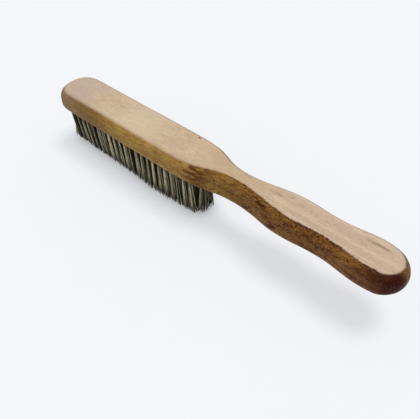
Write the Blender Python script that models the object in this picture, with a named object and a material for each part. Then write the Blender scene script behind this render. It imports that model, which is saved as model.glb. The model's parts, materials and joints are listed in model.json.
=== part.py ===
"""Hand wire brush: a one-piece beech block (brush head and handle) with blind holes in the flat
underside of the head, rows of wire tufts folded into the holes, and a flat anchor strip that locks
each cross row of tufts in the wood.

Frame: +X along the brush from the tip of the head to the end of the handle, +Y across it, +Z up.
Unworn tufts would reach down to z = 0, and the flat back of the brush is its highest plane.
x = 0 is the middle of the brush's length. All sizes are in metres.
"""

import math

import bmesh
import bpy
import numpy as np

for old in list(bpy.data.objects):
    bpy.data.objects.remove(old, do_unlink=True)

# ---- Overall sizes ----
LENGTH = 0.290  # tip of the head to the end of the handle
HEAD_THICKNESS = 0.0156  # wood over the tufts
TUFT_LENGTH = 0.0342  # from the underside of the head to the unworn tips
UNDERSIDE_Z = TUFT_LENGTH
BACK_Z = UNDERSIDE_Z + HEAD_THICKNESS

# ---- Layout of the tufts ----
COLUMNS = 24
COLUMN_PITCH = 0.0059
FIRST_COLUMN_X = 0.00638 - LENGTH / 2
INNER_ROW_Y = 0.00345  # each row is repeated on both sides of the middle
OUTER_ROW_Y = 0.01035

# ---- Holes and tufts; half sizes of an octagon run from its middle to its flats ----
HOLE_HALF = 0.0022
HOLE_DEPTH = 0.0080
CUTTER_BELOW = 0.010  # how far the hole cutters stick out under the wood

ROOT_HALF = 0.00125
ROOT_DEPTH = 0.0076  # how far a tuft reaches into its hole
MOUTH_HALF = 0.00183  # tuft at the underside of the head
MIDDLE_HALF_X = 0.00210
MIDDLE_DROP = 0.58 * TUFT_LENGTH
MIDDLE_SHARE = 0.45  # share of the tip's lean and sideways shift reached at the middle ring
TIP_HALF_X = 0.00235

# Tuft tips across Y: middle and half size as shares of the row's edge, and an overlap added to
# the half size so that neighbouring tips meet.
SPREAD_ONLY = (0.5, 0.5, 0.0003)  # in a column with the inner rows only
SPREAD_INNER = (0.23, 0.24, 0.0004)
SPREAD_OUTER = (0.73, 0.27, 0.0002)

# Wear and set of the tips along the head: column, length worn off, distance of the outermost
# tips from the middle of the brush, lean of the tips along X.
TIP_WEAR = (
    (0, .0026, .0076, .0010),
    (1, .0024, .0073, .0006),
    (2, .0021, .0070, .0003),
    (4, .0013, .0076, 0),
    (8, .0008, .0081, 0),
    (12, .0003, .0089, 0),
    (15, 0, .0107, 0),
    (18, 0, .0105, 0),
    (20, .0002, .0096, .0001),
    (22, .0008, .0095, .0004),
    (23, .0022, .0068, -.0002),
)

# ---- Anchor strips, on edge; Z ranges are above the underside ----
STRIP_HALF_X = 0.0002
STRIP_Z = (0.0050, 0.0062)
STRIP_PAST_HOLE = 0.00035
SLOT_CLEARANCE = 0.0003  # between a strip and its slot, all round
WINDOW_HALF_X = 0.00085  # opening in the tufts where the wire folds round the strip
WINDOW_HALF_Y = 0.02
WINDOW_CLEARANCE_Z = 0.0005

# ---- Block outline; stations are shares of the length from the tip of the head ----
# Station, full width as a share of the length, before the ends are rounded.
WIDTHS = (
    (0, .1202), (.20, .1210), (.40, .1220), (.455, .1186), (.49, .1086), (.52, .0895),
    (.55, .0695), (.58, .0595), (.61, .0588), (.65, .0690), (.69, .0850), (.73, .0942),
    (.77, .0934), (.81, .0876), (.85, .0908), (.89, .1018), (.93, .1082), (1, .0990),
)
# Each end is rounded along a superellipse: its length as a share, and its exponent.
TIP_SHARE, TIP_POWER = 0.058, 2.245
END_SHARE, END_POWER = 0.048, 2.15

# Station, thickness.
THICKNESS = (
    (0, .0156), (.42, .0156), (.44, .0157), (.46, .0160), (.48, .0167), (.50, .0177),
    (.52, .0188), (.54, .0197), (.57, .0204), (.60, .0205), (.70, .0197), (.78, .0181),
    (.84, .0180), (.90, .0181), (1, .0173),
)
# Station, radius of the edge rounding.
TOP_ROUNDING = ((0, .0070), (.42, .0070), (.62, .0052), (.92, .0056), (.97, .0072), (1, .0082))
BOTTOM_ROUNDING = ((0, .0048), (.45, .0048), (.52, .0060), (.92, .0062), (.97, .0072), (1, .0080))
BOTTOM_ANGLES = (90, 60, 30, 0)  # degrees, from the flat to the side
TOP_ANGLES = (0, 22.5, 45, 67.5, 90)  # degrees, from the side to the flat

# Station, extra wood sanded off the +Y side at the neck and round the end of the handle.
TRIM = (
    (0, 0), (.50, 0), (.56, .0007), (.62, .0007), (.70, .0003), (.93, .0004), (.975, .0014),
    (1, .0014),
)
TRIM_FADE = 0.006  # the trim fades out where the half width is below this


# ---- Mesh and object helpers ----
def bridge(bm, rings, clockwise=False):
    """Add the rings and the side faces between them; clockwise rings are as seen from above."""
    grid = [[bm.verts.new(point) for point in ring] for ring in rings]
    count = len(grid[0])
    for lower, upper in zip(grid, grid[1:]):
        for i in range(count):
            j = (i + 1) % count
            a, b = (j, i) if clockwise else (i, j)
            bm.faces.new((lower[a], lower[b], upper[b], upper[a]))
    return grid


def loft(bm, rings):
    grid = bridge(bm, rings)
    bm.faces.new(grid[0][::-1])
    bm.faces.new(grid[-1])


def box(bm, half_x, half_y, z_range):
    corners = ((-half_x, -half_y), (half_x, -half_y), (half_x, half_y), (-half_x, half_y))
    loft(bm, [[(x, y, z) for x, y in corners] for z in z_range])


def octagon(x, y, half_x, half_y, z):
    flat_to_corner = math.cos(math.pi / 8)
    angles = [math.pi / 8 + i * math.pi / 4 for i in range(8)]
    return [
        (
            x + half_x * math.cos(angle) / flat_to_corner,
            y + half_y * math.sin(angle) / flat_to_corner,
            z,
        )
        for angle in angles
    ]


def add_object(name, mesh, location=(0, 0, 0)):
    obj = bpy.data.objects.new(name, mesh)
    obj.location = location
    bpy.context.scene.collection.objects.link(obj)
    return obj


def add_bmesh(name, bm, smooth=False, location=(0, 0, 0)):
    mesh = bpy.data.meshes.new(name)
    bm.normal_update()
    bm.to_mesh(mesh)
    bm.free()
    if smooth:
        mesh.polygons.foreach_set("use_smooth", [True] * len(mesh.polygons))
    return add_object(name, mesh, location)


def add_boolean(obj, name, operation, other):
    modifier = obj.modifiers.new(name, "BOOLEAN")
    modifier.operation = operation
    modifier.solver = "EXACT"
    modifier.object = other


# ---- Materials ----
def make_material(name, colour, roughness, metallic):
    material = bpy.data.materials.new(name)
    material.use_nodes = True
    shader = material.node_tree.nodes["Principled BSDF"]
    shader.inputs["Base Color"].default_value = (*colour, 1)
    shader.inputs["Roughness"].default_value = roughness
    shader.inputs["Metallic"].default_value = metallic
    material.diffuse_color = (*colour, 1)
    return material


def beech():
    return make_material("beech", colour=(0.56, 0.43, 0.30), roughness=0.55, metallic=0.0)


def dull_wire(label):
    return make_material(
        f"dull_wire_{label}", colour=(0.17, 0.16, 0.12), roughness=0.5, metallic=0.7
    )


def anchor_steel(label):
    return make_material(
        f"anchor_steel_{label}", colour=(0.46, 0.46, 0.45), roughness=0.4, metallic=1.0
    )


# ---- Wood block ----
def table_at(table, share):
    return np.interp(share, *zip(*table))


def spline_bends(xs, ys):
    """Second derivatives of the natural cubic spline through the points."""
    count = len(xs)
    matrix = np.zeros((count, count))
    right = np.zeros(count)
    matrix[0, 0] = matrix[-1, -1] = 1
    step = np.diff(xs)
    slope = np.diff(ys) / step
    for i in range(1, count - 1):
        matrix[i, i - 1:i + 2] = step[i - 1], 2 * (step[i - 1] + step[i]), step[i]
        right[i] = 6 * (slope[i] - slope[i - 1])
    return np.linalg.solve(matrix, right)


def end_rounding(distance, length, power):
    """Factor on the width at a distance from an end: 0 at the end, 1 from length onwards."""
    inward = np.clip((length - distance) / length, 0, 1)
    return (1 - inward**power) ** (1 / power)


def half_widths(share):
    """Half width of the block: a natural spline through WIDTHS, with both ends rounded."""
    knots, widths = np.array(WIDTHS).T
    halves = widths / 2
    bends = spline_bends(knots, halves)
    i = np.clip(np.searchsorted(knots, share) - 1, 0, len(knots) - 2)
    step = knots[i + 1] - knots[i]
    before, after = (knots[i + 1] - share) / step, (share - knots[i]) / step
    straight = before * halves[i] + after * halves[i + 1]
    curve = (before**3 - before) * bends[i] + (after**3 - after) * bends[i + 1]
    tip = end_rounding(share, TIP_SHARE, TIP_POWER)
    end = end_rounding(1 - share, END_SHARE, END_POWER)
    return LENGTH * (straight + curve * step * step / 6) * tip * end


def ring_stations():
    """Stations of the mesh, closer together round the two ends, where the outline turns."""
    tip = TIP_SHARE * (1 - np.cos(np.linspace(0, math.pi / 2, 9)))
    head = np.linspace(TIP_SHARE, .42, 4)[1:]
    handle = np.linspace(.44, 1 - END_SHARE, 25)[:-1]
    end = 1 - END_SHARE * (1 - np.cos(np.linspace(0, math.pi / 2, 7)))
    return np.concatenate([tip, head, handle, end[::-1]])


def block_rings():
    """Closed rings from the underside up, each from tip to end on +Y and back on -Y."""
    stations = ring_stations()
    half = half_widths(stations)
    half[0] = half[-1] = 0
    plus_side = half - table_at(TRIM, stations) * np.clip(half / TRIM_FADE, 0, 1)
    share = np.concatenate([stations, stations[-2:0:-1]])
    x = share * LENGTH
    y = np.concatenate([plus_side, -half[-2:0:-1]])

    along_x = np.roll(x, -1) - np.roll(x, 1)
    along_y = np.roll(y, -1) - np.roll(y, 1)
    size = np.hypot(along_x, along_y)
    outward_x, outward_y = -along_y / size, along_x / size

    def ring(inset, z):
        ring_x = x - inset * outward_x - LENGTH / 2
        return np.column_stack([ring_x, y - inset * outward_y, z]).tolist()

    bottom_z = BACK_Z - table_at(THICKNESS, share)
    bottom_radius = table_at(BOTTOM_ROUNDING, share)
    top_radius = table_at(TOP_ROUNDING, share)
    rings = []
    for angle in map(math.radians, BOTTOM_ANGLES):
        z = bottom_z + bottom_radius * (1 - math.sin(angle))
        rings.append(ring(bottom_radius * (1 - math.cos(angle)), z))
    for angle in map(math.radians, TOP_ANGLES):
        z = BACK_Z - top_radius * (1 - math.sin(angle))
        rings.append(ring(top_radius * (1 - math.cos(angle)), z))
    return rings


def add_block():
    bm = bmesh.new()
    grid = bridge(bm, block_rings(), clockwise=True)
    # Close the bottom and top with strips of faces across Y, triangles at the two ends.
    for ring, faces_up in ((grid[0], False), (grid[-1], True)):
        for i in range(len(ring) // 2):
            corners = list(dict.fromkeys((ring[i], ring[i + 1], ring[-i - 1], ring[-i])))
            if faces_up:
                corners.reverse()
            bm.faces.new(corners)
    bmesh.ops.recalc_face_normals(bm, faces=bm.faces)
    block = add_bmesh("wood_block", bm, smooth=True)
    for cutter in (add_hole_cutter(), add_slot_cutter()):
        cutter.hide_render = True
        cutter.display_type = "WIRE"
        add_boolean(block, "cut_" + cutter.name, "DIFFERENCE", cutter)
    block.data.materials.append(beech())


# ---- Holes and anchor slots cut in the block ----
def column_x(column):
    return FIRST_COLUMN_X + column * COLUMN_PITCH


def rows_of(column):
    """The rounded head has room for only the inner rows in its first and last columns."""
    if column in (0, COLUMNS - 1):
        return (-INNER_ROW_Y, INNER_ROW_Y)
    return (-OUTER_ROW_Y, -INNER_ROW_Y, INNER_ROW_Y, OUTER_ROW_Y)


def strip_half_y(column):
    return max(rows_of(column)) + HOLE_HALF + STRIP_PAST_HOLE


def add_hole_cutter():
    bm = bmesh.new()
    for column in range(COLUMNS):
        for y in rows_of(column):
            loft(bm, [
                octagon(column_x(column), y, HOLE_HALF, HOLE_HALF, z)
                for z in (UNDERSIDE_Z - CUTTER_BELOW, UNDERSIDE_Z + HOLE_DEPTH)
            ])
    return add_bmesh("cut_holes", bm)


def add_slot_cutter():
    bm = bmesh.new()
    half_x = STRIP_HALF_X + SLOT_CLEARANCE
    low = UNDERSIDE_Z + STRIP_Z[0] - SLOT_CLEARANCE
    high = UNDERSIDE_Z + STRIP_Z[1] + SLOT_CLEARANCE
    for column in range(COLUMNS):
        middle = column_x(column)
        half_y = strip_half_y(column) + SLOT_CLEARANCE
        x0, x1 = middle - half_x, middle + half_x
        corners = ((x0, -half_y), (x1, -half_y), (x1, half_y), (x0, half_y))
        loft(bm, [[(x, y, z) for x, y in corners] for z in (low, high)])
    return add_bmesh("cut_slots", bm)


# ---- Cross rows of tufts: separate roots in the wood, flared until the tips meet ----
def tuft_rings(column, y):
    """Rings of one tuft from tip to root, with z = 0 at the underside of the head."""
    columns, *settings = np.array(TIP_WEAR).T
    worn, edge, lean = (float(np.interp(column, columns, values)) for values in settings)
    if len(rows_of(column)) == 2:
        spread = SPREAD_ONLY
    else:
        spread = SPREAD_OUTER if abs(y) == OUTER_ROW_Y else SPREAD_INNER
    middle_share, half_share, overlap = spread
    tip_y = math.copysign(middle_share * edge, y)
    tip_half_y = half_share * edge + overlap

    middle_y = (1 - MIDDLE_SHARE) * y + MIDDLE_SHARE * tip_y
    middle_half_y = (MOUTH_HALF + tip_half_y) / 2
    return [
        octagon(lean, tip_y, TIP_HALF_X, tip_half_y, worn - TUFT_LENGTH),
        octagon(MIDDLE_SHARE * lean, middle_y, MIDDLE_HALF_X, middle_half_y, -MIDDLE_DROP),
        octagon(0, y, MOUTH_HALF, MOUTH_HALF, 0),
        octagon(0, y, ROOT_HALF, ROOT_HALF, ROOT_DEPTH),
    ]


def add_tuft_row(column, label):
    """Join the tufts of one column and open a window through their roots for the strip."""
    name = f"tuft_row_{label}"
    tufts = []
    for i, y in enumerate(rows_of(column)):
        bm = bmesh.new()
        loft(bm, tuft_rings(column, y))
        tufts.append(add_bmesh(f"{name}_{i}", bm, smooth=True))
    bm = bmesh.new()
    window_z = (STRIP_Z[0] - WINDOW_CLEARANCE_Z, STRIP_Z[1] + WINDOW_CLEARANCE_Z)
    box(bm, WINDOW_HALF_X, WINDOW_HALF_Y, window_z)
    window = add_bmesh(f"{name}_window", bm)

    first = tufts[0]
    for other in tufts[1:]:
        add_boolean(first, "join", "UNION", other)
    add_boolean(first, "window", "DIFFERENCE", window)
    bpy.context.view_layer.update()
    graph = bpy.context.evaluated_depsgraph_get()
    mesh = bpy.data.meshes.new_from_object(first.evaluated_get(graph))
    mesh.name = name
    mesh.materials.clear()
    for helper in (*tufts, window):
        bpy.data.objects.remove(helper, do_unlink=True)

    mesh.materials.append(dull_wire(label))
    add_object(name, mesh, (column_x(column), 0, UNDERSIDE_Z))


def add_anchor_strip(column, label):
    bm = bmesh.new()
    box(bm, STRIP_HALF_X, strip_half_y(column), STRIP_Z)
    location = (column_x(column), 0, UNDERSIDE_Z)
    strip = add_bmesh(f"anchor_strip_{label}", bm, location=location)
    strip.data.materials.append(anchor_steel(label))


add_block()
for add_piece in (add_tuft_row, add_anchor_strip):
    for column in range(COLUMNS):
        add_piece(column, f"{column + 1:02d}")
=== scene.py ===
"""Hand wire brush: wooden block, tufts of single wires, anchor strips, floor, light and camera.

Metres. +X runs from the tip of the head to the end of the handle, +Y across and +Z up. The block
is centred on x = 0 with its flat back facing up, and the tuft tips stand on z = 0.
"""

import json
import math
import random

import bmesh
import bpy
import numpy as np
from mathutils import Matrix, Vector, noise

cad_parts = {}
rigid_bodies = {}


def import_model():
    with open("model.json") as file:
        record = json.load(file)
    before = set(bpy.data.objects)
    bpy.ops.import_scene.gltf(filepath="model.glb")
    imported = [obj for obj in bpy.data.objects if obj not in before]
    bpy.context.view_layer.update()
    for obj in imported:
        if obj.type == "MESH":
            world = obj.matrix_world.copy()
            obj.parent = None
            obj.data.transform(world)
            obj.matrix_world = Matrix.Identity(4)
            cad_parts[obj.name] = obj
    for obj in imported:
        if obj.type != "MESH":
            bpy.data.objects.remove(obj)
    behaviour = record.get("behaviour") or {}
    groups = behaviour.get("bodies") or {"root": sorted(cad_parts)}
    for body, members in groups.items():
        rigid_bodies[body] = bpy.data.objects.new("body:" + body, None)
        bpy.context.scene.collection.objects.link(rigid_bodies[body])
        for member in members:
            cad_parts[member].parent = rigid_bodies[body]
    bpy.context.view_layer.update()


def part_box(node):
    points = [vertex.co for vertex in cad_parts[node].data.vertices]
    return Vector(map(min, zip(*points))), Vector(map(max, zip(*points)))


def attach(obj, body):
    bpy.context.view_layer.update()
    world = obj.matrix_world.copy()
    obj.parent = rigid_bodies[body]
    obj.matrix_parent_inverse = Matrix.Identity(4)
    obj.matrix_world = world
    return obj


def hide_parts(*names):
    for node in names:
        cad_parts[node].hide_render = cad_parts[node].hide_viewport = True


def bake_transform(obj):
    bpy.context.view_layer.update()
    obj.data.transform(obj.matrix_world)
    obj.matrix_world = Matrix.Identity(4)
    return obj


# ---- sizes shared with the CAD frame ----
LENGTH = 0.290
TUFT = 0.0342  # free length of the wires
TOP_Z = 0.0498
MOUTH_Z = TUFT  # underside of the head, where the holes open
COLUMNS = 24  # cross rows of tufts, counted along X
PITCH = 0.0059
FIRST_X = 0.00638 - LENGTH / 2
INNER_Y, OUTER_Y = 0.00345, 0.01035

# ---- block outline; a station is a fraction of LENGTH from the tip of the head ----
STATIONS = np.array([
    0, .20, .40, .455, .49, .52, .55, .58, .61,
    .65, .69, .73, .77, .81, .85, .89, .93, 1.0])
# half of the full widths listed in percent of LENGTH, one for each station
HALF_WIDTHS = 0.01 * np.array([
    12.02, 12.10, 12.20, 11.86, 10.86, 8.95, 6.95, 5.95, 5.88,
    6.90, 8.50, 9.42, 9.34, 8.76, 9.08, 10.18, 10.82, 9.90]) / 2
# superellipse rounding in plan: share of LENGTH it takes, and its power
TIP_LEN, TIP_POWER = 0.058, 2.245
END_LEN, END_POWER = 0.048, 2.15

# ---- block profiles: stations, then metres ----
THICKNESS = (
    (0.0, .42, .44, .46, .48, .50, .52, .54, .57, .60, .70, .78, .84, .90, 1.0),
    (.0156, .0156, .0157, .0160, .0167, .0177, .0188, .0197,
     .0204, .0205, .0197, .0181, .0180, .0181, .0173))
TOP_ROUND = (
    (0.0, .42, .62, .92, .97, 1.0),
    (.0070, .0070, .0052, .0056, .0072, .0082))
BOTTOM_ROUND = (
    (0.0, .45, .52, .92, .97, 1.0),
    (.0048, .0048, .0060, .0062, .0072, .0080))
# how much further in the +Y side stands than the -Y side
TRIM = (
    (0.0, .50, .56, .62, .70, .93, .975, 1.0),
    (0.0, 0.0, .0007, .0007, .0003, .0004, .0014, .0014))
TRIM_FADE = 0.006  # half width below which the trim fades out
SMOOTHING = np.linspace(-.012, .012, 9)  # stations averaged to soften a profile's corners
TIP_STEPS, MIDDLE_STEPS, END_STEPS = 30, 190, 26
CAP_STEPS = 9  # faces across the flat top and underside
WAVE_HEIGHT, WAVES_PER_METRE = 0.00010, 60

# ---- drilled holes: height above the mouth, radius ----
HOLE = ((-0.006, 0.0021), (0.0079, 0.0021), (0.0088, 0.0004))
HOLE_SIDES = 18

# ---- wires ----
WIRE_R = 0.00019
WIRE_SIDES = 5
PER_TUFT = 46
STRANDS = 9  # groups of wires in a tuft that share a tone
GOLDEN_ANGLE = 2.39996
BURIED = 0.0062  # depth of the wires in their hole
LEVELS = (BURIED, 0.0030, 0.0, -0.30 * TUFT, -0.62 * TUFT, -0.86 * TUFT, -TUFT)
MOUTH_RX, MOUTH_RY = 0.00145, 0.0016  # half size of a bundle at the mouth
TIP_RX = 0.00305  # half size of a bundle along X at the tips
ANCHOR_RX, ANCHOR_GAP = 0.0014, 0.00048  # in the hole: half size along X, least distance from x = 0
# Wear and set by column, metres: length worn off the tips, how far the outermost tips stand from
# the middle of the brush, and how far the tips lean along X.
SET_COLUMN = (0, 1, 2, 4, 8, 12, 15, 18, 20, 22, 23)
WORN = (.0026, .0024, .0021, .0013, .0008, .0003, 0, 0, .0002, .0008, .0022)
EDGE = (.0076, .0073, .0070, .0076, .0081, .0089, .0107, .0105, .0096, .0095, .0068)
LEAN = (.0010, .0006, .0003, 0, 0, 0, 0, 0, .0001, .0004, -.0002)

# ---- camera: aimed at the middle of the block's top, then turned, tilted and rolled ----
AZIMUTH = math.radians(40.680)  # from -Y towards +X
ELEVATION = math.radians(40.279)
DISTANCE = 0.374651
TURN = math.radians(-0.04526396)  # positive is to the left
TILT = math.radians(-5.1537424)  # positive is upwards
ROLL = math.radians(-0.466)
SENSOR_MM, LENS_MM = 36.0, 48.498771


# ---------------------------------------------------------------- shared helpers
def add_object(name, data):
    obj = bpy.data.objects.new(name, data)
    bpy.context.scene.collection.objects.link(obj)
    return obj


def new_mesh(name, verts, faces):
    mesh = bpy.data.meshes.new(name)
    mesh.from_pydata(verts, [], faces)
    return mesh


def tube_faces(start, rings, sides):
    """Quads between closed rings of vertices that follow one another from index start."""
    faces = []
    for low in range(start, start + (rings - 1) * sides, sides):
        high = low + sides
        for i in range(sides):
            j = (i + 1) % sides
            faces.append((low + j, low + i, high + i, high + j))
    return faces


def rows_of(i):
    """Y of the tufts in a column; the first and last columns have only the inner two."""
    if i in (0, COLUMNS - 1):
        return (-INNER_Y, INNER_Y)
    return (-OUTER_Y, -INNER_Y, INNER_Y, OUTER_Y)


def column_x(i):
    return FIRST_X + i * PITCH


# ---------------------------------------------------------------- wood: shape
def spline_curvatures(xs, ys):
    """Second derivatives, at the points, of the natural cubic spline through them."""
    count, step = len(xs), np.diff(xs)
    matrix, target = np.zeros((count, count)), np.zeros(count)
    matrix[0, 0] = matrix[-1, -1] = 1
    for i in range(1, count - 1):
        matrix[i, i - 1:i + 2] = step[i - 1], 2 * (step[i - 1] + step[i]), step[i]
        target[i] = 6 * ((ys[i + 1] - ys[i]) / step[i] - (ys[i] - ys[i - 1]) / step[i - 1])
    return np.linalg.solve(matrix, target)


CURVATURES = spline_curvatures(STATIONS, HALF_WIDTHS)


def half_width(s):
    """Half width in metres at station s: the spline, rounded off at both ends."""
    i = int(np.clip(np.searchsorted(STATIONS, s) - 1, 0, len(STATIONS) - 2))
    step = STATIONS[i + 1] - STATIONS[i]
    a, b = (STATIONS[i + 1] - s) / step, (s - STATIONS[i]) / step
    bend = (a**3 - a) * CURVATURES[i] + (b**3 - b) * CURVATURES[i + 1]
    width = a * HALF_WIDTHS[i] + b * HALF_WIDTHS[i + 1] + bend * step * step / 6
    tip = min(max((TIP_LEN - s) / TIP_LEN, 0), 1)
    end = min(max((s - 1 + END_LEN) / END_LEN, 0), 1)
    tip_round = (1 - tip**TIP_POWER) ** (1 / TIP_POWER)
    end_round = (1 - end**END_POWER) ** (1 / END_POWER)
    return LENGTH * width * tip_round * end_round


def read_profile(profile, stations):
    return np.array([np.mean(np.interp(s + SMOOTHING, *profile)) for s in stations])


def block_stations():
    """Stations along one side, closer together towards both ends."""
    tip = TIP_LEN * (1 - np.cos(np.linspace(0, math.pi / 2, TIP_STEPS)))
    end = 1 - END_LEN * (1 - np.cos(np.linspace(0, math.pi / 2, END_STEPS)))
    middle = np.linspace(TIP_LEN, 1 - END_LEN, MIDDLE_STEPS)[1:-1]
    return np.concatenate([tip, middle, end[::-1]])


def block_rings():
    """Closed outlines of the block from the underside up, each (points, 3).

    Each runs from the tip along the +Y side to the end, and back along the -Y side.
    """
    side = block_stations()
    half = np.array([half_width(s) for s in side])
    half[0] = half[-1] = 0
    trimmed = half - np.interp(side, *TRIM) * np.clip(half / TRIM_FADE, 0, 1)
    x = np.concatenate([side, side[-2:0:-1]]) * LENGTH
    y = np.concatenate([trimmed, -half[-2:0:-1]])
    stations = np.concatenate([side, side[-2:0:-1]])
    along_x = np.roll(x, -1) - np.roll(x, 1)
    along_y = np.roll(y, -1) - np.roll(y, 1)
    size = np.hypot(along_x, along_y)
    out_x, out_y = -along_y / size, along_x / size
    top_r = read_profile(TOP_ROUND, stations)
    low_r = read_profile(BOTTOM_ROUND, stations)
    under_z = TOP_Z - read_profile(THICKNESS, stations)

    def ring(inset, z):
        return np.stack([x - inset * out_x - LENGTH / 2, y - inset * out_y, z], -1)

    rings = []
    for angle in np.linspace(90, 0, 8):
        inset, rise = 1 - math.cos(math.radians(angle)), math.sin(math.radians(angle))
        rings.append(ring(low_r * inset, under_z + low_r * (1 - rise)))
    for t in (.25, .5, .75):
        rings.append(ring(0, (under_z + low_r) * (1 - t) + (TOP_Z - top_r) * t))
    for angle in np.linspace(0, 90, 11):
        inset, rise = 1 - math.cos(math.radians(angle)), math.sin(math.radians(angle))
        rings.append(ring(top_r * inset, TOP_Z - top_r * (1 - rise)))
    return rings


def close_ring(verts, base, count, facing_up):
    """Faces across the ring that starts at vertex base; adds the vertices between its sides."""
    rungs = []
    for i in range(count // 2 + 1):
        left, right = base + i, base + (count - i) % count
        if left == right:
            rungs.append([left])
            continue
        start, end = np.array(verts[left]), np.array(verts[right])
        first = len(verts)
        for k in range(1, CAP_STEPS):
            verts.append(tuple(start + (end - start) * k / CAP_STEPS))
        rungs.append([left, *range(first, len(verts)), right])
    faces = []
    for a, b in zip(rungs, rungs[1:]):
        for k in range(CAP_STEPS):
            if len(a) == 1:
                face = (a[0], b[k], b[k + 1])
            elif len(b) == 1:
                face = (a[k + 1], a[k], b[0])
            else:
                face = (a[k + 1], a[k], b[k], b[k + 1])
            faces.append(face[::-1] if facing_up else face)
    return faces


def build_block():
    rings = block_rings()
    count = len(rings[0])
    verts = [tuple(point) for ring in rings for point in ring]
    faces = tube_faces(0, len(rings), count)
    faces += close_ring(verts, 0, count, facing_up=False)
    faces += close_ring(verts, (len(rings) - 1) * count, count, facing_up=True)
    mesh = new_mesh("beech_block", verts, faces)
    bm = bmesh.new()
    bm.from_mesh(mesh)
    bmesh.ops.recalc_face_normals(bm, faces=bm.faces)
    bm.normal_update()
    # slow, shallow waves as on sanded wood, a quarter as high on the underside
    for v in bm.verts:
        place = v.co * WAVES_PER_METRE
        wave = noise.noise(place) + 0.5 * noise.noise(place * 2.3)
        keep = 0.25 if v.normal.z < -0.7 else 1.0
        v.co = v.co + v.normal * wave * WAVE_HEIGHT * keep
    bm.to_mesh(mesh)
    bm.free()
    return add_object("beech_block", mesh)


def drill(block):
    """Cuts the blind holes, with tapered ends, into the underside."""
    verts, faces = [], []
    for i in range(COLUMNS):
        for y in rows_of(i):
            start = len(verts)
            for z, r in HOLE:
                for k in range(HOLE_SIDES):
                    a = 2 * math.pi * k / HOLE_SIDES
                    x = column_x(i) + r * math.cos(a)
                    verts.append((x, y + r * math.sin(a), MOUTH_Z + z))
            walls = tube_faces(start, len(HOLE), HOLE_SIDES)
            faces += [(b, a, d, c) for a, b, c, d in walls]
            faces.append(tuple(range(start, start + HOLE_SIDES))[::-1])
            faces.append(tuple(range(len(verts) - HOLE_SIDES, len(verts))))
    cutter = add_object("drill", new_mesh("drill", verts, faces))
    cut = block.modifiers.new("drill", "BOOLEAN")
    cut.operation = "DIFFERENCE"
    cut.solver = "MANIFOLD"
    cut.object = cutter
    bpy.context.view_layer.update()
    drilled = block.evaluated_get(bpy.context.evaluated_depsgraph_get())
    mesh = bpy.data.meshes.new_from_object(drilled)
    block.modifiers.clear()
    block.data = mesh
    bpy.data.objects.remove(cutter, do_unlink=True)
    mesh.polygons.foreach_set("use_smooth", [True] * len(mesh.polygons))
    mesh.set_sharp_from_angle(angle=math.radians(38))


# ---------------------------------------------------------------- node helpers
def srgb(*rgb):
    """Linear colour from sRGB bytes."""
    shares = [c / 255 for c in rgb]
    return tuple(c / 12.92 if c <= 0.04045 else ((c + 0.055) / 1.055) ** 2.4 for c in shares)


class Nodes:
    """Short ways to add shader nodes. Inputs may be values or output sockets."""

    def __init__(self, owner):
        self.owner = owner
        owner.use_nodes = True
        self.tree = owner.node_tree

    def put(self, socket, value):
        if hasattr(value, "is_output"):
            self.tree.links.new(value, socket)
        elif isinstance(value, tuple) and len(value) == 3 and socket.type == "RGBA":
            socket.default_value = (*value, 1)
        else:
            socket.default_value = value

    def node(self, kind, inputs=None, **settings):
        made = self.tree.nodes.new(f"ShaderNode{kind}")
        for key, value in settings.items():
            setattr(made, key, value)
        for key, value in (inputs or {}).items():
            self.put(made.inputs[key], value)
        return made

    def coordinates(self, kind="Object"):
        return self.node("TexCoord").outputs[kind]

    def split(self, vector):
        return self.node("SeparateXYZ", {0: vector}).outputs

    def math(self, operation, a, b=0.0):
        return self.node("Math", {0: a, 1: b}, operation=operation).outputs[0]

    def times(self, product, *factors):
        for factor in factors:
            product = self.math("MULTIPLY", product, factor)
        return product

    def noise(self, vector, cells, detail, rough=0.55, distort=0.0, shift=(0, 0, 0)):
        """Noise with the given number of cells per metre along each axis."""
        mapped = self.node("Mapping", {"Vector": vector, "Scale": cells, "Location": shift})
        return self.node("TexNoise", {
            "Vector": mapped.outputs[0], "Scale": 1.0, "Detail": detail, "Roughness": rough,
            "Distortion": distort}).outputs["Fac"]

    def ramp(self, value, source, to=(0.0, 1.0), smooth=True):
        """Maps value from the source range to the other range, clamped."""
        return self.node(
            "MapRange", {0: value, 1: source[0], 2: source[1], 3: to[0], 4: to[1]},
            interpolation_type="SMOOTHSTEP" if smooth else "LINEAR").outputs[0]

    def between(self, share, a, b):
        return self.ramp(share, (0.0, 1.0), to=(a, b), smooth=False)

    def sway(self, pattern, amount):
        """A noise pattern spread over -amount to +amount."""
        return self.ramp(pattern, (0.3, 0.7), to=(-amount, amount), smooth=False)

    def mix(self, share, a, b, blend="MIX"):
        return self.node(
            "Mix", {0: share, 6: a, 7: b}, data_type="RGBA", blend_type=blend).outputs[2]

    def layers(self, colour, coats):
        """Lays coats, pairs of a mask and sRGB bytes, over a colour in turn."""
        for mask, rgb in coats:
            colour = self.mix(mask, colour, srgb(*rgb))
        return colour

    def bump(self, height, distance, strength, **under):
        return self.node("Bump", {
            "Height": height, "Distance": distance, "Strength": strength, **under}).outputs[0]


class Surface(Nodes):
    """The nodes of a new material."""

    def __init__(self, name):
        super().__init__(bpy.data.materials.new(name))
        self.tree.nodes.clear()

    def finish(self, inputs):
        """Ends the tree in a Principled shader with these inputs; returns the material."""
        shader = self.node("BsdfPrincipled", inputs)
        self.node("OutputMaterial", {0: shader.outputs[0]})
        return self.owner


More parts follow.
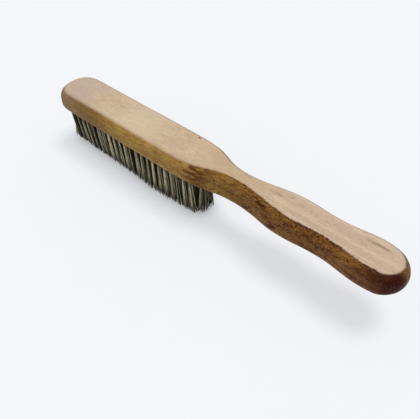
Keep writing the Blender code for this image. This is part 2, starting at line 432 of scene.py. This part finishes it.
# ---------------------------------------------------------------- wood: finish
# Dark marks on the back: x, y, half length, half width, strength, turn, raggedness.
# The long one at x = 0.1218 has no strength here; HAIRY_MARK draws it, broken by the grain.
MARKS = (
    (-0.0193, 0.0118, 0.0016, 0.0009, 0.75, 0.0, 0.5),
    (0.0552, 0.0024, 0.0030, 0.0006, 0.40, -0.3, 0.5),
    (0.0628, 0.0055, 0.0016, 0.0007, 0.5, 0.5, 0.5),
    (0.1218, 0.0058, 0.0092, 0.0017, 0.0, 0.02, 0.9),
    (0.1400, 0.0062, 0.0012, 0.0011, 0.6, 0.0, 0.5),
    (-0.085, 0.0020, 0.0040, 0.0008, 0.25, 0.2, 0.5),
    (-0.0410, -0.0030, 0.0045, 0.0006, 0.22, 0.1, 0.5),
    (0.0880, -0.0010, 0.0060, 0.0005, 0.25, 0.1, 0.5),
    (0.0300, 0.0030, 0.0050, 0.0005, 0.25, -0.2, 0.5))
HAIRY_MARK = (0.1218, 0.0058, 0.0100, 0.0018, 0.78, 0.02, 0.4)


class Beech(Surface):
    """Pale sanded beech on the flat back, golden-brown oil finish on the rounded sides."""

    def __init__(self):
        super().__init__("beech")
        self.pos = pos = self.coordinates()
        self.x, self.y, _ = self.split(pos)
        self.nx, self.ny, self.nz = self.split(self.coordinates("Normal"))
        # long fibres, slightly wandering
        wander = self.noise(pos, (9, 22, 22), detail=2.0)
        shift = self.node("CombineXYZ", {
            1: self.sway(wander, .0015), 2: self.sway(wander, -.0012)}).outputs[0]
        self.grain = grain = self.node(
            "VectorMath", {0: pos, 1: shift}, operation="ADD").outputs[0]
        self.fibre = self.noise(grain, (90, 2600, 2600), detail=5.0, rough=0.62)
        self.bands = self.noise(grain, (5, 230, 230), detail=3.0, rough=0.5, distort=0.6)
        self.fleck = self.noise(grain, (420, 2300, 2300), detail=2.0, rough=0.5, shift=(3, 7, 1))
        self.speck = self.noise(pos, (560, 900, 900), detail=4.0, rough=0.65, shift=(5, 2, 8))
        self.dust = self.noise(pos, (1100, 1500, 1500), detail=2.0, rough=0.6, shift=(2, 9, 4))
        self.mottle = self.noise(grain, (180, 520, 620), detail=4.0, rough=0.6, shift=(1, 4, 9))
        # 0 to 1 from the -Y side to the +Y side
        flat = self.math("SUBTRACT", 1.0, self.math("MULTIPLY", self.nz, self.nz))
        flat = self.math("SQRT", self.math("MAXIMUM", flat, 0.0001))
        self.away = self.ramp(
            self.math("DIVIDE", self.ny, flat), (-0.75, 0.90), smooth=False)
        # upward part of the normal, made uneven
        uneven = self.noise(pos, (260, 260, 260), detail=4.0, rough=0.7)
        self.ragged_nz = self.math("ADD", self.nz, self.sway(uneven, 0.014))

    def back_mask(self):
        """1 on the pale back: fades softly on the head, along a sharper line on the handle."""
        handle = self.ramp(self.x, (-0.03, 0.02))
        end = (0.126, 0.136)
        low = self.between(handle, 0.78, self.ramp(self.x, end, to=(0.955, 0.915)))
        high = self.between(handle, 0.982, self.ramp(self.x, end, to=(0.994, 0.978)))
        return self.ramp(self.ragged_nz, (
            self.between(self.away, low, 0.80), self.between(self.away, high, 0.925)))

    def mark(self, x, y, half_length, half_width, strength, turn, ragged):
        """Mask of one ragged elliptical mark on the back."""
        cos, sin = math.cos(turn), math.sin(turn)
        dx, dy = self.math("SUBTRACT", self.x, x), self.math("SUBTRACT", self.y, y)
        along = self.math(
            "ADD", self.times(dx, cos / half_length), self.times(dy, sin / half_length))
        across = self.math(
            "ADD", self.times(dx, -sin / half_width), self.times(dy, cos / half_width))
        squares = self.math("ADD", self.times(along, along), self.times(across, across))
        reach = self.math("ADD", self.math("SQRT", squares), self.sway(self.speck, ragged))
        return self.times(self.ramp(reach, (1.05, 0.45)), strength)

    def marks(self):
        dark = self.mark(*MARKS[0])
        for values in MARKS[1:]:
            dark = self.math("MAXIMUM", dark, self.mark(*values))
        hairs = self.noise(self.grain, (60, 1700, 1700), detail=2.0, rough=0.5, shift=(2, 2, 2))
        hairy = self.times(self.mark(*HAIRY_MARK), self.ramp(hairs, (0.44, 0.58)))
        return self.math("MAXIMUM", dark, hairy)

    def back_colour(self):
        ramp, times, x = self.ramp, self.times, self.x
        broad = self.noise(self.pos, (30, 80, 80), detail=2.0)
        cloud = self.noise(
            self.pos, (70, 130, 130), detail=3.0, rough=0.6, distort=0.8, shift=(6, 1, 3))
        base = self.mix(ramp(cloud, (0.38, 0.62)), srgb(210, 187, 155), srgb(200, 175, 149))
        return self.layers(base, (
            (ramp(broad, (0.40, 0.64), to=(0, 0.35)), (204, 178, 150)),
            # pinker, paler handle
            (ramp(x, (0.03, 0.08), to=(0, 0.60)), (214, 191, 170)),
            # growth bands, stronger on the handle
            (times(ramp(self.bands, (0.42, 0.66)), ramp(x, (-0.04, 0.05), to=(0.10, 0.38))),
             (180, 150, 122)),
            # flecks, specks and pale dust
            (ramp(self.fleck, (0.56, 0.70), to=(0, 0.50)), (146, 112, 82)),
            (ramp(self.speck, (0.60, 0.74), to=(0, 0.5)), (130, 100, 74)),
            (ramp(self.dust, (0.44, 0.30), to=(0, 0.35)), (226, 208, 184)),
            # paler middle of the head
            (times(ramp(x, (-0.10, -0.07)), ramp(x, (-0.035, -0.055), to=(0, 0.5))),
             (218, 198, 170)),
            # browner neck
            (times(ramp(x, (-0.01, 0.012)), ramp(x, (0.05, 0.03), to=(0, 0.7))),
             (195, 170, 138)),
            # pinker patch near the tip of the head
            (times(ramp(x, (-0.095, -0.125)), 0.55), (190, 169, 157)),
            (self.marks(), (92, 62, 40))))

    def side_colour(self):
        ramp, times, x, ny, nz = self.ramp, self.times, self.x, self.ny, self.nz
        mottle, pos = self.mottle, self.pos
        pool = self.noise(
            pos, (95, 210, 260), detail=3.0, rough=0.6, distort=0.5, shift=(8, 3, 5))
        end = ramp(x, (0.118, 0.132))
        ragged = self.noise(pos, (90, 380, 420), detail=3.0, rough=0.6, shift=(4, 4, 1))
        ragged_x = self.math("ADD", x, self.sway(ragged, 0.006))
        base = self.mix(ramp(mottle, (0.34, 0.66)), srgb(183, 150, 80), srgb(149, 113, 53))
        return self.layers(base, (
            (ramp(self.bands, (0.40, 0.64), to=(0, 0.45)), (112, 72, 28)),
            # browner handle
            (ramp(x, (-0.004, 0.040), to=(0.08, 0.62)), (116, 60, 12)),
            # finish pooled in red-brown patches along the handle, golden ones between them
            (times(ramp(pool, (0.52, 0.64)), ramp(x, (0, 0.04), to=(0.15, 0.90))), (64, 24, 8)),
            (times(ramp(pool, (0.46, 0.34)), ramp(x, (0, 0.04), to=(0, 0.64))), (156, 108, 58)),
            # dark red towards the end
            (ramp(x, (0.110, 0.137), to=(0, 0.82)), (66, 18, 11)),
            # darker band round the middle of the handle
            (times(ramp(x, (0.066, 0.076)), ramp(x, (0.114, 0.098), to=(0, 0.27))),
             (80, 34, 14)),
            # paler and pinker low down on the handle
            (times(ramp(x, (0.085, 0.105)), ramp(x, (0.136, 0.122)),
                   ramp(nz, (0.30, -0.35), to=(0, 0.42))), (146, 100, 72)),
            # the end: darker above, paler below
            (times(end, ramp(nz, (0.20, 0.60), to=(0, 0.55))), (50, 16, 8)),
            (times(end, ramp(nz, (-0.05, -0.50), to=(0, 0.50))), (124, 82, 50)),
            # deep red pool on the -Y corner of the end
            (times(ramp(self.nx, (0.30, 0.60)), ramp(ny, (-0.10, -0.35)),
                   ramp(x, (0.122, 0.134), to=(0, 0.92))), (56, 2, 3)),
            # paler at the very end, away from that corner
            (times(ramp(x, (0.134, 0.141)), ramp(ny, (-0.22, 0.06)),
                   ramp(mottle, (0.30, 0.62), to=(0.40, 0.90))), (140, 102, 58)),
            # flecks, specks and pale dust, stronger on the handle
            (times(ramp(self.fleck, (0.52, 0.66)), ramp(x, (-0.03, 0.05), to=(0.36, 0.95))),
             (46, 20, 6)),
            (times(ramp(self.speck, (0.54, 0.66)), ramp(x, (-0.03, 0.05), to=(0.34, 0.95))),
             (40, 18, 8)),
            (times(ramp(self.dust, (0.42, 0.30)), times(
                ramp(x, (-0.02, 0.03), to=(0.20, 0.62)), ramp(x, (0.09, 0.125), to=(1.0, 0.3)))),
             (206, 160, 88)),
            # brown band near the tip of the head, golden middle of the head
            (times(ramp(x, (-0.124, -0.110)), ramp(x, (-0.080, -0.098), to=(0, 0.55))),
             (112, 78, 42)),
            (times(ramp(x, (-0.086, -0.072)), ramp(x, (-0.028, -0.040), to=(0, 0.12))),
             (204, 170, 100)),
            # red-brown patch where the head runs into the neck, strongest on the -Y side
            (times(ramp(ragged_x, (-0.011, -0.002)), ramp(x, (0.012, 0.002)),
                   ramp(ny, (0.3, -0.3), to=(0.30, 0.82)), ramp(mottle, (0.26, 0.56))),
             (88, 38, 12)),
            # greyer nose of the head
            (ramp(x, (-0.100, -0.134), to=(0, 0.66)), (130, 108, 92)),
            # paler lower edge of the head
            (times(ramp(nz, (-0.15, -0.65)), ramp(x, (0, -0.02)), 0.5), (186, 158, 116)),
            # greyer +Y side
            (times(ramp(self.away, (0.6, 1.0)), 0.35), (128, 118, 106))))

    def dark_line(self):
        """Broken line of built-up finish below the back's edge, on the handle's -Y side."""
        ramp, times = self.ramp, self.times
        line = times(ramp(self.ragged_nz, (0.80, 0.95)), ramp(self.ragged_nz, (0.999, 0.965)))
        line = times(line, times(ramp(self.x, (0.02, 0.06)), ramp(self.speck, (0.40, 0.58))))
        line = times(line, times(ramp(self.ny, (0.06, -0.06)), ramp(self.x, (0.130, 0.124))))
        return times(line, 0.7)

    def build(self):
        colour = self.mix(self.back_mask(), self.side_colour(), self.back_colour())
        colour = self.mix(self.dark_line(), colour, srgb(52, 30, 18))
        darker = self.mix(1.0, colour, srgb(150, 128, 104), blend="MULTIPLY")
        colour = self.mix(self.times(self.ramp(self.fibre, (0.35, 0.7)), 0.20), colour, darker)
        pits = self.math("SUBTRACT", 1.0, self.ramp(self.fleck, (0.56, 0.72)))
        relief = self.bump(self.mottle, distance=0.00012, strength=0.5)
        relief = self.bump(self.fibre, distance=0.00006, strength=0.6, Normal=relief)
        relief = self.bump(pits, distance=0.00005, strength=0.6, Normal=relief)
        return self.finish({
            "Base Color": colour,
            "Roughness": self.ramp(self.mottle, (0.25, 0.75), to=(0.62, 0.46)),
            "Specular IOR Level": 0.08,
            "Sheen Weight": 0.22,
            "Sheen Roughness": 0.30,
            "Sheen Tint": (0.62, 0.40, 0.12),
            "Normal": relief})


# ---------------------------------------------------------------- wires
def wire_steel():
    """Dull wire, coloured by its tone and darkened towards the tips, with painted shade towards the
    mouth.
    """
    m = Surface("dull_wire")
    tone = m.node("Attribute", attribute_name="tone").outputs["Fac"]
    along = m.node("Attribute", attribute_name="along").outputs["Fac"]
    dirt = m.noise(m.coordinates(), (500, 500, 160), detail=3.0)
    # tone runs from near black through dull olive to pale: partly the wires' own uneven tone,
    # partly painted shade between the wires and painted highlights on them
    dark_tone = m.ramp(tone, (0, 0.30), smooth=False)
    colour = m.layers(m.mix(dark_tone, srgb(16, 10, 1), srgb(66, 59, 26)), (
        (m.ramp(tone, (0.30, 1.0), smooth=False), (240, 232, 194)),
        (m.ramp(dirt, (0.45, 0.75), to=(0, 0.5)), (70, 62, 40)),
        (m.ramp(along, (0.62, 0.97), to=(0, 0.86)), (22, 18, 5)),
        # painted shade where the wires leave the mouth, deep under the head
        (m.ramp(along, (0.28, 0), to=(0, 0.66)), (18, 15, 6))))
    return m.finish({
        "Base Color": colour,
        "Metallic": 0.35,
        "Specular IOR Level": 0.28,
        "Roughness": m.ramp(dirt, (0.3, 0.7), to=(0.40, 0.62)),
        "Normal": m.bump(dirt, distance=0.00002, strength=0.5)})


def tuft_wires(i, row_y, rng):
    """Yields the path and tone of every wire in one tuft.

    Each runs from deep in the hole, out of the mouth in a tight bundle, flaring to the tips.
    """
    def by_column(columns, values):
        return float(np.interp(i, columns, values))

    worn, edge, column_lean = (by_column(SET_COLUMN, table) for table in (WORN, EDGE, LEAN))
    end_column = len(rows_of(i)) == 2
    side = math.copysign(1, row_y)
    # where the tips stand and their half spread across, as shares of the edge distance
    if end_column:
        tip_middle, tip_spread = 0.5, 0.5
    elif abs(row_y) == OUTER_Y:
        tip_middle, tip_spread = 0.73, 0.27
    else:
        tip_middle, tip_spread = 0.23, 0.24
    tip_y, tip_ry = side * tip_middle * edge, tip_spread * edge
    lean = rng.gauss(0, 0.00012) + column_lean
    flare = by_column((15, 20), (1.9, 1.35))
    tone_shake = by_column((15, 20), (0.16, 0.26))
    strands = [(rng.uniform(0, 2 * math.pi), rng.gauss(0.38, 0.30)) for _ in range(STRANDS)]
    # the inner rows of the full columns are in the dark
    hidden = abs(row_y) == INNER_Y and not end_column
    shade = by_column((14, 20), (0.16, 0.55)) if hidden else 1.0
    shade *= by_column((0, 7, 12, 18, 22, 23), (0.84, 0.95, 1.08, 1.26, 1.30, 0.80))
    for k in range(PER_TUFT):
        # even spread over the unit disc, shaken a little
        r = math.sqrt((k + 0.5) / PER_TUFT)
        angle = k * GOLDEN_ANGLE + rng.uniform(-.25, .25)
        u, v = r * math.cos(angle), r * math.sin(angle)
        wild_x, wild_y = rng.gauss(0, 0.00022), rng.gauss(0, 0.00028)
        short = abs(rng.gauss(0, 0.00035)) + worn
        strand_tone = max(strands, key=lambda strand: math.cos(strand[0] - angle))[1]
        # painted shade on the inner wires of each bundle and painted light on the side of each
        # bundle facing -X and -Y, over the strand's own tone
        tone = strand_tone * (0.35 + 0.65 * r) + 0.28 * math.cos(angle + 2.43)
        tone = min(max(tone + rng.gauss(0, tone_shake), 0), 1) * shade
        if i == COLUMNS - 1 and side > 0:
            # painted highlight: a bright streak on the last column's +Y tuft
            tone = min(tone + 0.45 * max(math.cos(angle - 0.71), 0) ** 8, 1)
        mouth_x, mouth_y = u * MOUTH_RX, v * MOUTH_RY
        deep_x = math.copysign(max(abs(u) * ANCHOR_RX, ANCHOR_GAP), u)
        tip_dx = u * (1 + 0.28 * v * v) * TIP_RX + wild_x
        tip_dy = v * (1 + 0.28 * u * u) * tip_ry + wild_y
        bow = rng.gauss(0, 0.00016)
        path = []
        for z in LEVELS:
            if z > 0:
                t = z / BURIED
                x = mouth_x * (1 - t) + deep_x * t
                y = row_y + mouth_y * (1 - 0.2 * t)
            else:
                t = -z / TUFT
                spread, drift = t**flare, t**1.3
                bend = bow * math.sin(math.pi * t)
                x = mouth_x * (1 - spread) + tip_dx * spread + lean * drift + bend
                y = row_y * (1 - drift) + tip_y * drift
                y += mouth_y * (1 - spread) + tip_dy * spread + bend
                if t == 1:
                    z = -TUFT + short
            path.append(Vector((column_x(i) + x, y, MOUTH_Z + z)))
        yield path, tone


def wire_column(i, rng, material):
    """Every wire of one column, with its tone and the share of its free length as attributes."""
    verts, faces, tones, along = [], [], [], []
    for row_y in rows_of(i):
        for k, (path, tone) in enumerate(tuft_wires(i, row_y, rng)):
            start = len(verts)
            for level, p in zip(LEVELS, path):
                for q in range(WIRE_SIDES):
                    a = 2 * math.pi * (q + 0.5 * (k % 2)) / WIRE_SIDES
                    verts.append((p.x + WIRE_R * math.cos(a), p.y + WIRE_R * math.sin(a), p.z))
                    tones.append(tone)
                    along.append(max(-level / TUFT, 0))
            faces += tube_faces(start, len(path), WIRE_SIDES)
            faces.append(tuple(range(start, start + WIRE_SIDES)))
            faces.append(tuple(range(len(verts) - WIRE_SIDES, len(verts)))[::-1])
    name = f"wires_of_row_{i + 1:02d}"
    mesh = new_mesh(name, verts, faces)
    for attribute, values in (("tone", tones), ("along", along)):
        mesh.attributes.new(attribute, "FLOAT", "POINT").data.foreach_set("value", values)
    mesh.polygons.foreach_set("use_smooth", [len(p.vertices) == 4 for p in mesh.polygons])
    mesh.materials.append(material)
    return add_object(name, mesh)


# ---------------------------------------------------------------- anchors
def strip_steel():
    """Bright steel with fine rolling lines along Y."""
    m = Surface("anchor_steel")
    rolled = m.noise(m.coordinates(), (3000, 200, 3000), detail=3.0)
    return m.finish({
        "Base Color": m.mix(
            m.ramp(rolled, (0.3, 0.7)), srgb(150, 150, 146), srgb(186, 186, 182)),
        "Metallic": 1.0,
        "Roughness": m.ramp(rolled, (0.3, 0.7), to=(0.3, 0.5)),
        "Normal": m.bump(rolled, distance=0.00002, strength=0.6)})


def anchor_strip(i, material):
    """A softened box as large as the CAD strip."""
    low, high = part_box(f"anchor_strip_{i + 1:02d}")
    size, middle = high - low, (high + low) / 2
    bm = bmesh.new()
    bmesh.ops.create_cube(bm, size=1.0)
    for v in bm.verts:
        v.co = Vector((v.co.x * size.x, v.co.y * size.y, v.co.z * size.z)) + middle
    bmesh.ops.bevel(
        bm, geom=bm.edges[:], offset=0.00006, segments=2, affect="EDGES", profile=0.5)
    name = f"anchor_of_row_{i + 1:02d}"
    mesh = bpy.data.meshes.new(name)
    bm.to_mesh(mesh)
    bm.free()
    mesh.materials.append(material)
    return add_object(name, mesh)


# ---------------------------------------------------------------- floor, light and camera
def paper():
    """Pale matt paper that glows a little, less so right beside the brush, where the dimmer glow is
    a painted contact shadow.
    """
    m = Surface("paper")
    blotches = m.node("TexNoise", {
        "Vector": m.coordinates(), "Scale": 30.0, "Detail": 2.0, "Roughness": 0.55,
        "Distortion": 0.0}).outputs["Fac"]
    # painted contact shadow: the glow dims wherever the brush stands close
    openness = m.node("AmbientOcclusion", {"Distance": 0.010}, samples=8).outputs["AO"]
    glow = m.mix(m.between(openness, 0.0, 1.0), (0.42, 0.42, 0.42), (0.940, 0.958, 0.998))
    return m.finish({
        "Base Color": m.mix(blotches, (0.322, 0.328, 0.338), (0.330, 0.336, 0.346)),
        "Roughness": 0.9,
        "Specular IOR Level": 0.0,
        "Emission Color": glow,
        "Emission Strength": 0.602})


def build_floor():
    corners = [(-4, -4, 0), (4, -4, 0), (4, 4, 0), (-4, 4, 0)]
    floor = add_object("floor", new_mesh("floor", corners, [(0, 1, 2, 3)]))
    floor.location.z = -0.0002
    floor.data.materials.append(paper())


def build_world():
    """White room, brighter past the tip than past the end; the camera sees a plain backdrop."""
    world = bpy.data.worlds.new("studio")
    m = Nodes(world)
    room = m.tree.nodes["Background"]
    x = m.split(m.coordinates("Generated"))[0]
    m.put(room.inputs["Color"], (1, 1, 1))
    m.put(room.inputs["Strength"], m.ramp(x, (-0.8, 0.8), to=(0.70, 0.38), smooth=False))
    backdrop = m.node("Background", {"Color": (0.896, 0.913, 0.947)})
    camera_ray = m.node("LightPath").outputs["Is Camera Ray"]
    shown = m.node("MixShader", {0: camera_ray, 1: room.outputs[0], 2: backdrop.outputs[0]})
    m.put(m.tree.nodes["World Output"].inputs["Surface"], shown.outputs[0])
    bpy.context.scene.world = world


def build_sun():
    data = bpy.data.lights.new("key", "SUN")
    data.energy = 1.64
    data.angle = math.radians(22)
    key = add_object("key", data)
    key.rotation_mode = "QUATERNION"
    key.rotation_quaternion = Vector((-0.14, -0.17, -1.0)).to_track_quat("-Z", "Y")


def swing(a, b, angle):
    """Turns two perpendicular directions in their plane, a towards b."""
    cos, sin = math.cos(angle), math.sin(angle)
    return a * cos + b * sin, b * cos - a * sin


def build_camera():
    back = Vector((math.sin(AZIMUTH) * math.cos(ELEVATION),
                   -math.cos(AZIMUTH) * math.cos(ELEVATION),
                   math.sin(ELEVATION)))
    right = Vector((math.cos(AZIMUTH), math.sin(AZIMUTH), 0))
    up = back.cross(right)
    eye = Vector((0, 0, TOP_Z)) + back * DISTANCE
    right, ahead = swing(right, -back, TURN)
    ahead, up = swing(ahead, up, TILT)
    up, right = swing(up, right, ROLL)
    data = bpy.data.cameras.new("camera")
    data.sensor_width = SENSOR_MM
    data.lens = LENS_MM
    data.clip_start, data.clip_end = 0.01, 20
    camera = add_object("camera", data)
    axes = Matrix((right, up, -ahead)).transposed().to_4x4()
    camera.matrix_world = Matrix.Translation(eye) @ axes
    bpy.context.scene.camera = camera


# ---------------------------------------------------------------- put together
for old in list(bpy.data.objects):
    bpy.data.objects.remove(old, do_unlink=True)
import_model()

block = build_block()
drill(block)
block.data.materials.clear()
block.data.materials.append(Beech().build())
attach(block, "block")
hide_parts("wood_block")

rng = random.Random(11)
wire_material, anchor_material = wire_steel(), strip_steel()
for i in range(COLUMNS):
    number = f"{i + 1:02d}"
    wires = wire_column(i, rng, wire_material)
    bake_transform(wires)
    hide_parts(f"tuft_row_{number}")
    anchor = anchor_strip(i, anchor_material)
    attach(anchor, "block")
    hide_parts(f"anchor_strip_{number}")

build_floor()
view = bpy.context.scene.view_settings
view.view_transform = "Standard"
view.look = "None"
view.exposure = 0
view.gamma = 1
build_world()
build_sun()
build_camera()
